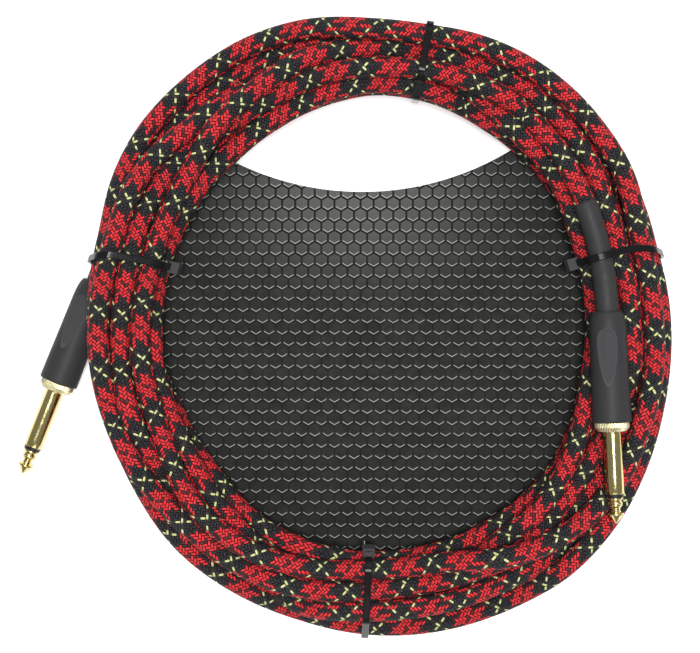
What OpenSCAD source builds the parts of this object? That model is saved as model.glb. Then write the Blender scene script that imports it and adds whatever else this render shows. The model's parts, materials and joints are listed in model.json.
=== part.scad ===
// Instrument cable: a braided cable coiled on a backing card, held by four ties,
// with a 6.35 mm two-pole jack plug on each end.
// The origin is the centre of the footprint, on the surface that the coil lies on.
// Millimetres, +Z up.

/* [Jack plug] */
// Diameter of the sleeve contact
sleeve_d = 6.35; // [6.3:0.01:6.4]
// Length of the jack from the collar's front face to the point
jack_l = 32; // [31:0.5:33]
// Length of the sleeve contact in front of the collar
sleeve_l = 21.7; // [21:0.1:22.2]
// Length of the insulating ring between the sleeve and the tip
ring_l = 1.3; // [1:0.1:1.6]
// Diameter of the knurled collar
collar_d = 12.1; // [11.5:0.1:12.6]
// Length of the knurled collar
collar_l = 3.1; // [2.6:0.1:3.6]
// Diameter of the handle at its front edge
handle_d = 13.7; // [13.5:0.1:14.2]
// Length of the handle
handle_l = 38.5; // [37:0.5:40]
// Length of the threaded spigot that the handle screws onto
spigot_l = 6; // [5:0.5:6.5]

/* [Cable] */
// Outer diameter of the braided cable
cable_d = 7.4; // [7:0.1:7.6]
// Outer diameter of the shrunk sleeve on the cable behind each handle
boot_d = 8.2; // [8:0.1:8.4]
// Length of the shrunk sleeve that shows behind the handle
boot_l = 38.5; // [34:0.5:39]

/* [Coil] */
// Outer radius of the coil
coil_outer_r = 108; // [105:0.5:108]
// Inner radius of the coil
coil_inner_r = 76; // [75:0.5:78]
// Height of the coil, three layers of cable
coil_h = 20.1; // [19:0.1:20.1]

/* [Ties and card] */
// Width of a tie's strap
strap_w = 2.5; // [2:0.1:3]
// Thickness of a tie's strap
strap_t = 1.1; // [1:0.05:1.1]
// Radius of the backing card
card_r = 88; // [86:0.5:89]
// Thickness of the backing card
card_t = 0.5; // [0.3:0.05:0.5]

/* [Hidden] */

$fn = 48;
EPS = 0.01;

// The coil's middle, set so that the whole footprint is centred on the origin.
COIL_X = 9.4;
COIL_Y = 0.6;

// Each plug is [x, y, z, heading]: the middle of its collar's front face, and the way
// that its tip points, in degrees from +X.
LEFT_PLUG = [-104.5, -22.2, 7.1, -111.5];
RIGHT_PLUG = [91.5, -35.5, 25.5, -87.5];

// How far each handle is turned from where its scoops face straight up and down.
LEFT_SCOOP_TURN = 20;
RIGHT_SCOOP_TURN = 14;

// Along a plug's own axis, z is 0 at the collar's front face and grows to the tip.
sleeve_r = sleeve_d / 2;
collar_r = collar_d / 2;
handle_r = handle_d / 2;
cable_r = cable_d / 2;
boot_r = boot_d / 2;
seat_gap = 0.05;                                 // handle's front edge to the collar
handle_front = -collar_l - seat_gap;
handle_rear = handle_front - handle_l;
turn_travel = 4.8;                               // six turns of a 0.8 mm thread
cavity_r = 5.65;                                 // inside of the handle
cavity_rear = handle_rear + 5;
neck_r = boot_r + 0.4;                           // hole in the handle's rear end
shoulder_r = 3.5;                                // rounding of the handle's rear end
handle_taper = 0.4;                              // how much thinner its rear end is
spigot_r = cavity_r - 0.05;
spigot_rear = -collar_l - spigot_l;
rod_r = 1.1;                                     // centre rod of the tip contact
bore_r = 2.2;                                    // hole through the sleeve contact
tip_rear = sleeve_l + ring_l;
ring_front_r = 2.75;
lug_t = 0.5;
washer_t = 1;
washer_r = 3.7;
tip_lug_rear = spigot_rear - 2 * lug_t - washer_t;
rod_rear = tip_lug_rear - 1;                    // the rod is riveted over its lug
tip_lug_r = 2.6;
strip_x = washer_r + 0.05;                        // the ground strip passes the washer
liner_r = cavity_r - 0.08;
liner_bore_r = 5;
sheath_end = -22;                                // where the outer braid is cut back
core_r = 0.5;
pigtail_r = 0.65;
pigtail_x = 3;
pigtail_end = sheath_end + 7.6;
straight_l = 1;                                  // boot stays straight behind the handle
boot_rear = handle_rear - boot_l;
boot_room = 0.1;                                 // from a boot to the coil
cable_past_boot = 2;                             // cable that shows past the boot

// The right boot bends sideways to follow the coil; the left one runs straight under it.
RIGHT_BEND = 18.75;                              // degrees
right_bend_l = boot_l - straight_l;
right_bend_r = right_bend_l / (RIGHT_BEND * PI / 180);
past_boot_bend = cable_past_boot / right_bend_r * 180 / PI;

// The coil's section: a rounded rectangle that rests on the card.
strap_gap = 0.1;
card_z = strap_t + 0.05;
coil_z = card_z + card_t + 0.05;
coil_corner = 6;
coil_top = coil_z + coil_h;

// Angles of the ties around the coil, from +X.
TIE_ANGLES = [79.5, 164.5, 268.5, 16.2];         // top, left, bottom, right

// Where a tie's head meets its strap, on top of the coil or beside its inner wall.
head_on_top = coil_top + strap_gap + 0.4;
head_inside = coil_inner_r - strap_gap - 0.4;

// The right tail leaves its boot, comes down over 60 mm and joins the top layer.
// Each point is [distance from the coil's middle, angle, height].
RIGHT_TAIL = [
    [85.8, 36.5, 25.2], [87.7, 42, 24.2], [89.4, 48, 22.2], [90.6, 54, 20.2],
    [91, 60, 18.6], [91, 66, 18]
];
TAIL_SIDES = 10;
TAIL_STEPS = 3;                                  // rings between two points

// ---- placing ----

module at_left_plug() {
    translate([LEFT_PLUG[0], LEFT_PLUG[1], LEFT_PLUG[2]]) rotate([0, 90, LEFT_PLUG[3]]) children();
}

module at_right_plug() {
    translate([RIGHT_PLUG[0], RIGHT_PLUG[1], RIGHT_PLUG[2]])
        rotate([0, 90, RIGHT_PLUG[3]]) children();
}

module at_coil() {
    translate([COIL_X, COIL_Y, 0]) children();
}

// A cylinder or a tube from z = a to z = b.
module rod(r, a, b) {
    translate([0, 0, a]) cylinder(r = r, h = b - a);
}

module tube(r, bore, a, b) {
    difference() {
        rod(r, a, b);
        rod(bore, a - 1, b + 1);
    }
}

// ---- the jack ----

// The sleeve contact, its collar and its spigot are one turned piece. The collar
// narrows to its front face.
module sleeve_contact() {
    bevel_l = 1.4;
    bevel_r = 1.1;
    color("gold") difference() {
        union() {
            rod(sleeve_r, -EPS, sleeve_l);
            rod(collar_r, -collar_l, -bevel_l);
            translate([0, 0, -bevel_l])
                cylinder(r1 = collar_r, r2 = collar_r - bevel_r, h = bevel_l);
            rod(spigot_r, spigot_rear, -collar_l);
        }
        rod(bore_r, spigot_rear - 1, sleeve_l + 1);
    }
}

// The tip, on a long rod: a flange, a ball, a waist and a pointed head. Each pair is
// [radius, z].
module tip_contact() {
    color("gold") rotate_extrude() polygon([
        [0, rod_rear], [rod_r, rod_rear], [rod_r, tip_rear],
        [ring_front_r, tip_rear], [ring_front_r, tip_rear + 0.5], [1.9, tip_rear + 0.9],
        [2.3, tip_rear + 1.5], [2.4, tip_rear + 2.2], [2.2, tip_rear + 2.9],
        [1.6, tip_rear + 3.7], [1.5, tip_rear + 4.3], [1.9, tip_rear + 4.9],
        [2.75, tip_rear + 5.5], [2.75, tip_rear + 5.8],
        [0.6, jack_l - 0.4], [0.3, jack_l - 0.1], [0, jack_l]
    ]);
}

// The ring tapers a little from the sleeve to the tip.
module tip_ring() {
    color("black") difference() {
        translate([0, 0, sleeve_l]) cylinder(r1 = sleeve_r - 0.1, r2 = ring_front_r, h = ring_l);
        rod(rod_r, sleeve_l - 1, tip_rear + 1);
    }
}

module rod_insulator() {
    color("white") tube(bore_r, rod_r, spigot_rear, sleeve_l);
}

// A ring under the insulating washer, a strip back to the cable and a clamp around it.
module ground_lug() {
    ring_z = spigot_rear - lug_t;
    color("silver") {
        tube(4.4, 2.4, ring_z, spigot_rear);
        translate([strip_x, -1.5, sheath_end - 5]) cube([lug_t, 3, ring_z - sheath_end + 5]);
        difference() {
            tube(cable_r + lug_t + 0.05, cable_r + 0.05, sheath_end - 5, sheath_end - 1.5);
            translate([-6, -0.6, sheath_end - 6]) cube([4, 1.2, 6]);
        }
    }
}

module lug_washer() {
    color("ivory") tube(washer_r, rod_r, tip_lug_rear + lug_t, spigot_rear - lug_t);
}

// A small ring riveted under the rod's end, with a tail for the core wire.
module tip_lug() {
    color("silver") {
        tube(tip_lug_r, rod_r, tip_lug_rear, tip_lug_rear + lug_t);
        translate([-tip_lug_r, -1, tip_lug_rear - 4.1]) cube([lug_t, 2, 4.6]);
    }
}

// ---- the handle ----

module handle_outline() {
    rear_r = handle_r - handle_taper;
    shoulder_z = handle_rear + shoulder_r;
    polygon([[0, shoulder_z], [rear_r, shoulder_z], [handle_r, handle_front], [0, handle_front]]);
    translate([rear_r - shoulder_r, shoulder_z]) intersection() {
        circle(shoulder_r);
        translate([0, -shoulder_r]) square(shoulder_r);
    }
    translate([0, handle_rear]) square([rear_r - shoulder_r + EPS, shoulder_r + EPS]);
}

// A shallow flat scoop in one side of the handle, round at both ends.
module grip_scoop() {
    scoop_w = 5.4;
    scoop_l = 19;
    scoop_floor = 6.05;
    front = handle_rear + 25.5;
    translate([0, 0, front - scoop_l + scoop_w / 2]) rotate([0, 90, 0])
        rod(scoop_w / 2, scoop_floor, handle_r + 1);
    translate([0, 0, front - scoop_w / 2]) rotate([0, 90, 0])
        rod(scoop_w / 2, scoop_floor, handle_r + 1);
    translate([scoop_floor, -scoop_w / 2, front - scoop_l + scoop_w / 2])
        cube([handle_r - scoop_floor + 1, scoop_w, scoop_l - scoop_w]);
}

module handle(scoop_turn) {
    color("dimgray") difference() {
        rotate_extrude() handle_outline();
        rod(cavity_r, cavity_rear, handle_front + 1);
        rod(neck_r, handle_rear - 1, cavity_rear + 1);
        for (side = [0, 180]) rotate(side + scoop_turn) grip_scoop();
    }
}

// A loose plastic tube that keeps the solder joints off the handle.
module handle_liner() {
    color("lightcyan") tube(liner_r, liner_bore_r, cavity_rear + 0.3, spigot_rear - 0.6);
}

// ---- the cable's ends, inside the plug ----

// A round bar or tube of the boot's shape, from z = a back past the handle to its rear end.
module along_boot(r, front, rear_l, bend) {
    bend_start = handle_rear - straight_l;
    if (bend > 0) {
        rod(r, bend_start, front);
        translate([0, -right_bend_r, bend_start]) rotate([0, 90, 0])
            rotate_extrude(start = 90 - bend, angle = bend) translate([right_bend_r, 0]) circle(r);
    } else {
        rod(r, bend_start - rear_l, front);
    }
}

module boot(bend) {
    color("black") difference() {
        along_boot(boot_r, handle_rear + 1.5, right_bend_l, bend);
        along_boot(cable_r, handle_rear + 2.5, right_bend_l + 1, bend > 0 ? bend + 1 : 0);
    }
}

module cable_end(bend) {
    color("firebrick") along_boot(
        cable_r, sheath_end, right_bend_l + cable_past_boot, bend > 0 ? bend + past_boot_bend : 0
    );
}

module inner_jacket() {
    color("dimgray") rod(2.9, sheath_end, sheath_end + 2.4);
}

module dielectric() {
    color("white") rod(1.5, sheath_end + 2.4, sheath_end + 5.4);
}

module core_wire() {
    color("peru") rod(core_r, sheath_end + 5.4, rod_rear);
}

module shield_pigtail() {
    color("silver") translate([pigtail_x, 0, 0]) rod(pigtail_r, sheath_end + 2.4, pigtail_end);
}

// Solder that joins the core to the tip's lug, and the shield to the ground strip.
module tip_solder() {
    color("lightgray") difference() {
        translate([-1.25, 0, tip_lug_rear - 2.8]) sphere(1);
        rod(core_r, tip_lug_rear - 6, tip_lug_rear);
        translate([-tip_lug_r, -1, tip_lug_rear - 6]) cube([lug_t, 2, 6]);
    }
}

module ground_solder() {
    color("lightgray") difference() {
        translate([pigtail_x + 0.3, 0, pigtail_end - 1.6]) sphere(1);
        translate([pigtail_x, 0, 0]) rod(pigtail_r, sheath_end, pigtail_end);
        translate([strip_x, -1.5, sheath_end]) cube([lug_t + 1, 3, 9]);
    }
}

// ---- the coil ----

module coil_section() {
    translate([coil_inner_r, coil_z + coil_corner])
        square([coil_outer_r - coil_inner_r, coil_h - 2 * coil_corner]);
    translate([coil_inner_r + coil_corner, coil_z])
        square([coil_outer_r - coil_inner_r - 2 * coil_corner, coil_h]);
    for (x = [coil_inner_r + coil_corner, coil_outer_r - coil_corner])
        for (z = [coil_z + coil_corner, coil_top - coil_corner])
            translate([x, z]) circle(coil_corner);
}

// Room for a plug that lies in the coil: its handle with its travel, jack and boot.
module plug_bed(front, rear) {
    handle_room = 0.35;
    jack_room = 1;
    rod(handle_r + handle_room, handle_rear - turn_travel - 0.7, 0.6);
    rod(sleeve_r + jack_room, 0, front);
    rod(boot_r + boot_room, rear, handle_rear);
}

module cable_coil() {
    color("firebrick") difference() {
        at_coil() rotate_extrude($fn = 120) coil_section();
        at_left_plug() plug_bed(jack_l, boot_rear - cable_past_boot);
        at_right_plug() plug_bed(jack_l + 30, handle_rear - straight_l);
        at_right_plug() along_boot(boot_r + boot_room, handle_rear, right_bend_l, RIGHT_BEND + 2);
    }
}

// ---- the tail: one tube swept along its points ----

function polar_point(p) = [COIL_X + p[0] * cos(p[1]), COIL_Y + p[0] * sin(p[1]), p[2]];

// Where the right cable end stops, and the way that it points.
function right_end_point() =
    let (
        turn = RIGHT_BEND + past_boot_bend,
        back = right_bend_r * sin(turn) + straight_l - handle_rear,
        side = -right_bend_r * (1 - cos(turn)),
        h = RIGHT_PLUG[3]
    )
    [RIGHT_PLUG[0] - back * cos(h) - side * sin(h),
     RIGHT_PLUG[1] - back * sin(h) + side * cos(h),
     RIGHT_PLUG[2]];

function right_end_heading() = RIGHT_PLUG[3] + 180 + RIGHT_BEND + past_boot_bend;

function unit(v) = v / norm(v);

// A point on a smooth curve through p[1] and p[2], at t from 0 to 1.
function smooth(p, t) =
    0.5 * (2 * p[1] + (p[2] - p[0]) * t
        + (2 * p[0] - 5 * p[1] + 4 * p[2] - p[3]) * t * t
        + (3 * p[1] - p[0] - 3 * p[2] + p[3]) * t * t * t);

function curve(points, steps) =
    let (n = len(points))
    [for (i = [1 : n - 3]) for (s = [0 : steps - 1])
        smooth([for (k = [i - 1 : i + 2]) points[k]], s / steps),
     points[n - 2]];

module swept_tube(path, r, sides) {
    n = len(path);
    function along(i) = unit(path[min(i + 1, n - 1)] - path[max(i - 1, 0)]);
    rings = [for (i = [0 : n - 1])
        let (t = along(i), across = unit(cross(t, [0, 0, 1])), up = cross(across, t))
        for (k = [0 : sides - 1])
            path[i] + r * (cos(360 * k / sides) * across + sin(360 * k / sides) * up)];
    polyhedron(rings, concat(
        [[for (k = [0 : sides - 1]) k]],
        [for (i = [0 : n - 2]) for (k = [0 : sides - 1])
            let (a = i * sides, b = a + sides, q = (k + 1) % sides)
            [a + q, a + k, b + k, b + q]],
        [[for (k = [sides - 1 : -1 : 0]) (n - 1) * sides + k]]
    ));
}

module right_tail() {
    start = right_end_point();
    h = right_end_heading();
    before = start - 4 * [cos(h), sin(h), 0];
    route = concat([before, start], [for (p = RIGHT_TAIL) polar_point(p)]);
    color("firebrick") swept_tube(curve(route, TAIL_STEPS), cable_r, TAIL_SIDES);
}

// ---- ties and card ----

// Inner corners of a tie's loop as [distance from the coil's middle, height, radius].
function tie_corners(over_boot) = concat(
    [for (x = [coil_inner_r + coil_corner, coil_outer_r - coil_corner])
        for (z = [coil_z + coil_corner, coil_top - coil_corner])
            [x, z == coil_z + coil_corner ? strap_t + coil_corner + strap_gap : z,
             coil_corner + strap_gap]],
    over_boot ? [[81.4, RIGHT_PLUG[2], boot_r + 0.7]] : []
);

module tie_loop(corners, grow) {
    hull() for (c = corners) translate([c[0], c[1]]) circle(c[2] + grow, $fn = 32);
}

// A tie's square head, which stands on the strap, with the cut end of the strap past it.
module tie_head() {
    head_l = 4.8;
    head_h = 3.4;
    head_w = 4.6;
    cut_l = 1.8;
    translate([-head_l / 2, 0, -head_w / 2]) cube([head_l, head_h, head_w]);
    translate([head_l / 2 - EPS, head_h - 1.8, -strap_w / 2]) cube([cut_l, strap_t, strap_w]);
}

// A tie: its strap around coil and card, with its head at [distance from the coil's
// middle, height], turned by head_turn from lying flat on top of the coil.
module tie(angle, head_at, head_turn, over_boot) {
    corners = tie_corners(over_boot);
    color("black") at_coil() rotate([90, 0, angle]) {
        translate([0, 0, -strap_w / 2]) linear_extrude(strap_w) difference() {
            tie_loop(corners, strap_t);
            tie_loop(corners, 0);
        }
        translate([head_at[0], head_at[1], 0]) rotate(head_turn) tie_head();
    }
}

module tie_top() {
    tie(TIE_ANGLES[0], [88, head_on_top], 0, false);
}

module tie_left() {
    tie(TIE_ANGLES[1], [head_inside, 15.5], 90, false);
}

module tie_bottom() {
    tie(TIE_ANGLES[2], [80.6, head_on_top], 0, false);
}

module tie_right() {
    tie(TIE_ANGLES[3], [head_inside, 15.5], 90, true);
}

// A card under the coil. A large arc is cut out of its top, and each strap that comes
// up inside the coil passes through a slot.
module backing_card() {
    bite_r = 103.6;
    bite_x = 5.2;
    bite_y = 152.8;
    slot_l = 3;
    slot_w = strap_w + 0.2;
    slot_r = 79;
    color("dimgray") translate([0, 0, card_z]) linear_extrude(card_t) difference() {
        translate([COIL_X, COIL_Y]) circle(card_r, $fn = 120);
        translate([bite_x, bite_y]) circle(bite_r, $fn = 120);
        for (angle = TIE_ANGLES) translate([COIL_X, COIL_Y]) rotate(angle)
            translate([slot_r - slot_l / 2, -slot_w / 2]) square([slot_l, slot_w]);
    }
}

// ---- nodes ----

cable_coil();
right_tail();
backing_card();
tie_top();
tie_left();
tie_bottom();
tie_right();

at_left_plug() handle(LEFT_SCOOP_TURN);  // left_handle
at_left_plug() handle_liner();  // left_handle_liner
at_left_plug() sleeve_contact();  // left_sleeve_contact
at_left_plug() tip_contact();  // left_tip_contact
at_left_plug() tip_ring();  // left_tip_ring
at_left_plug() rod_insulator();  // left_rod_insulator
at_left_plug() ground_lug();  // left_ground_lug
at_left_plug() lug_washer();  // left_lug_washer
at_left_plug() tip_lug();  // left_tip_lug
at_left_plug() boot(0);  // left_boot
at_left_plug() cable_end(0);  // left_cable_end
at_left_plug() inner_jacket();  // left_inner_jacket
at_left_plug() dielectric();  // left_dielectric
at_left_plug() core_wire();  // left_core_wire
at_left_plug() shield_pigtail();  // left_shield_pigtail
at_left_plug() tip_solder();  // left_tip_solder
at_left_plug() ground_solder();  // left_ground_solder

at_right_plug() handle(RIGHT_SCOOP_TURN);  // right_handle
at_right_plug() handle_liner();  // right_handle_liner
at_right_plug() sleeve_contact();  // right_sleeve_contact
at_right_plug() tip_contact();  // right_tip_contact
at_right_plug() tip_ring();  // right_tip_ring
at_right_plug() rod_insulator();  // right_rod_insulator
at_right_plug() ground_lug();  // right_ground_lug
at_right_plug() lug_washer();  // right_lug_washer
at_right_plug() tip_lug();  // right_tip_lug
at_right_plug() boot(RIGHT_BEND);  // right_boot
at_right_plug() cable_end(RIGHT_BEND);  // right_cable_end
at_right_plug() inner_jacket();  // right_inner_jacket
at_right_plug() dielectric();  // right_dielectric
at_right_plug() core_wire();  // right_core_wire
at_right_plug() shield_pigtail();  // right_shield_pigtail
at_right_plug() tip_solder();  // right_tip_solder
at_right_plug() ground_solder();  // right_ground_solder
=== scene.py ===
"""Looks of the coiled instrument cable: its braid, plugs, ties, card, light and camera.

Lengths are metres, and the listed tables are in millimetres.
"""

import json
import math

import bpy
import numpy as np
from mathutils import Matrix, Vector


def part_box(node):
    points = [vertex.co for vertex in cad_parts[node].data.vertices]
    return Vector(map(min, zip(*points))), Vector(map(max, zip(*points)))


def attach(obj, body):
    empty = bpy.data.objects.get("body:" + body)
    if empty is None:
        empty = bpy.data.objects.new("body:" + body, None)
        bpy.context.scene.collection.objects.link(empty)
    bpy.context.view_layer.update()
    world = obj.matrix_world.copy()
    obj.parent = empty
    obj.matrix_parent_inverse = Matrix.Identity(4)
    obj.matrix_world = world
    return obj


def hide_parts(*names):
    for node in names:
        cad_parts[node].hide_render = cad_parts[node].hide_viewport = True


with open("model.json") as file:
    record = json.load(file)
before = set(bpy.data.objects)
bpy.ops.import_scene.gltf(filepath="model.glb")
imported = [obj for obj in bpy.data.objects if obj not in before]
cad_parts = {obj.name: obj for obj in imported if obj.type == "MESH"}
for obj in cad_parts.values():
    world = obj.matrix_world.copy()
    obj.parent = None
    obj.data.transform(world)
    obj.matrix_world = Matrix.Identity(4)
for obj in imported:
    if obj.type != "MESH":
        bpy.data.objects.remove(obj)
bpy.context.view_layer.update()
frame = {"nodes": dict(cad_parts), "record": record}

MM = 0.001
NODES = frame["nodes"]
MOUNTS = {m["name"]: m for m in frame["record"]["mounts"]}

# Cable
CABLE_R = 3.7 * MM
BRAID_PITCH = 20.1 * MM          # one turn of a carrier around the cable
CARRIERS = 16                    # yarns that run each way
CABLE_SIDES = 24
CABLE_STEP = 1.5 * MM

# Card under the coil, whose middle is the coil's middle too
card_low, card_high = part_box("backing_card")
CARD_R = (card_high.x - card_low.x) / 2
COIL_MIDDLE = np.array([(card_low.x + card_high.x) / 2, card_low.y + CARD_R])
CARD_TOP = card_high.z
STRAP_T = 1.1 * MM
STRAP_W = 2.5 * MM
SLOT_R = 78.5 * MM               # the card's slots for the straps


# ---- camera ----

CAMERA_LENS = 78.1
CAMERA_PLACE = (0.0009, 0.0006, 0.55)


def add_camera():
    data = bpy.data.cameras.new("camera")
    data.sensor_width = 36
    data.lens = CAMERA_LENS
    camera = bpy.data.objects.new("camera", data)
    camera.location = CAMERA_PLACE
    bpy.context.scene.collection.objects.link(camera)
    bpy.context.scene.camera = camera


# ---- small mesh tools ----

def new_piece(name, points, faces, material, body, smooth=True):
    mesh = bpy.data.meshes.new(name)
    mesh.from_pydata([tuple(p) for p in points], [], [tuple(f) for f in faces])
    mesh.validate()
    mesh.polygons.foreach_set("use_smooth", [smooth] * len(mesh.polygons))
    mesh.materials.append(material)
    piece = bpy.data.objects.new(name, mesh)
    bpy.context.scene.collection.objects.link(piece)
    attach(piece, body)
    return piece


def bridge(rings, sides, closed=False):
    """Quads between rings of points that follow each other."""
    faces = []
    for i in range(rings if closed else rings - 1):
        a, b = i * sides, (i + 1) % rings * sides
        for k in range(sides):
            n = (k + 1) % sides
            faces.append((a + k, a + n, b + n, b + k))
    return faces


def swept_rings(path, radii, sides, roll=0.0):
    """Rings of points around a path, with the first point of each at its top."""
    path = np.asarray(path)
    ahead = np.gradient(path, axis=0)
    ahead /= np.linalg.norm(ahead, axis=1)[:, None]
    across = np.cross(ahead, (0, 0, 1))
    across /= np.linalg.norm(across, axis=1)[:, None]
    up = np.cross(across, ahead)
    turn = np.linspace(0, 2 * math.pi, sides, endpoint=False)[None, :] + np.reshape(roll, (-1, 1))
    spokes = np.cos(turn)[..., None] * up[:, None] + np.sin(turn)[..., None] * across[:, None]
    return path[:, None] + np.reshape(radii, (-1, 1, 1)) * spokes


def resampled(points, step):
    """A smooth curve through the points, with points about step apart."""
    points = np.asarray(points, float)
    p = np.vstack([2 * points[0] - points[1], points, 2 * points[-1] - points[-2]])
    t = np.linspace(0, 1, 6, endpoint=False)[None, :, None]
    a, b, c, d = (p[i:len(p) - 3 + i][:, None] for i in range(4))
    bend, twist = 2 * a - 5 * b + 4 * c - d, 3 * b - a - 3 * c + d
    dense = 0.5 * (2 * b + (c - a) * t + bend * t**2 + twist * t**3)
    dense = np.vstack([dense.reshape(-1, 3), points[-1:]])
    along = np.concatenate([[0], np.cumsum(np.linalg.norm(np.diff(dense, axis=0), axis=1))])
    at = np.linspace(0, along[-1], max(2, round(along[-1] / step) + 1))
    return np.stack([np.interp(at, along, dense[:, k]) for k in range(3)], axis=1)


# ---- the plugs' places ----

class Plug:
    """A plug's own axis: z is 0 at the collar's front face and grows to the tip."""

    def __init__(self, side):
        mount = MOUNTS[f"{side}_jack"]
        self.side = side
        self.axis = np.array(mount["axis"], float)
        self.sleeve_l = mount["dims"]["length_mm"] * MM
        self.front = np.array(mount["pos_m"]) - self.axis * self.sleeve_l / 2
        self.up = np.array([0.0, 0.0, 1.0])
        self.beside = np.cross(self.up, self.axis)

    def place(self, points):
        """Points given as (up, beside, along) in the row frame."""
        points = np.asarray(points, float)
        up, beside, along = points[..., :1], points[..., 1:2], points[..., 2:]
        return self.front + up * self.up + beside * self.beside + along * self.axis

    def reach(self, part):
        """(rear end, front end, largest radius) of one of the plug's CAD nodes."""
        points = np.array([v.co for v in NODES[f"{self.side}_{part}"].data.vertices])
        along = (points - self.front) @ self.axis
        off = points - self.front - along[:, None] * self.axis
        return along.min(), along.max(), np.linalg.norm(off, axis=1).max()


LEFT, RIGHT = Plug("left"), Plug("right")
HANDLE_REAR, HANDLE_FRONT, HANDLE_R = LEFT.reach("handle")
SHEATH_END = LEFT.reach("cable_end")[1]
BOOT_END = LEFT.reach("boot")[0]
BOOT_R = LEFT.reach("boot")[2]
SIDE_BEND = math.radians(18.75)                   # the right boot's bend
STRAIGHT_L = 1 * MM                               # and what is straight before it
BEND_R = (HANDLE_REAR - BOOT_END - STRAIGHT_L) / SIDE_BEND


def plug_line(plug, past, bent):
    """The cable's line inside a plug and its boot, from the cut braid to past the boot's end."""
    start, end = SHEATH_END, BOOT_END - past
    straight_end = HANDLE_REAR - STRAIGHT_L if bent else end
    line = [(0, 0, z) for z in np.linspace(start, straight_end, 20)]
    if bent:
        for turn in np.linspace(0, (straight_end - end) / BEND_R, 14)[1:]:
            line.append((0, BEND_R * (math.cos(turn) - 1), straight_end - BEND_R * math.sin(turn)))
    return plug.place(line)
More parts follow.
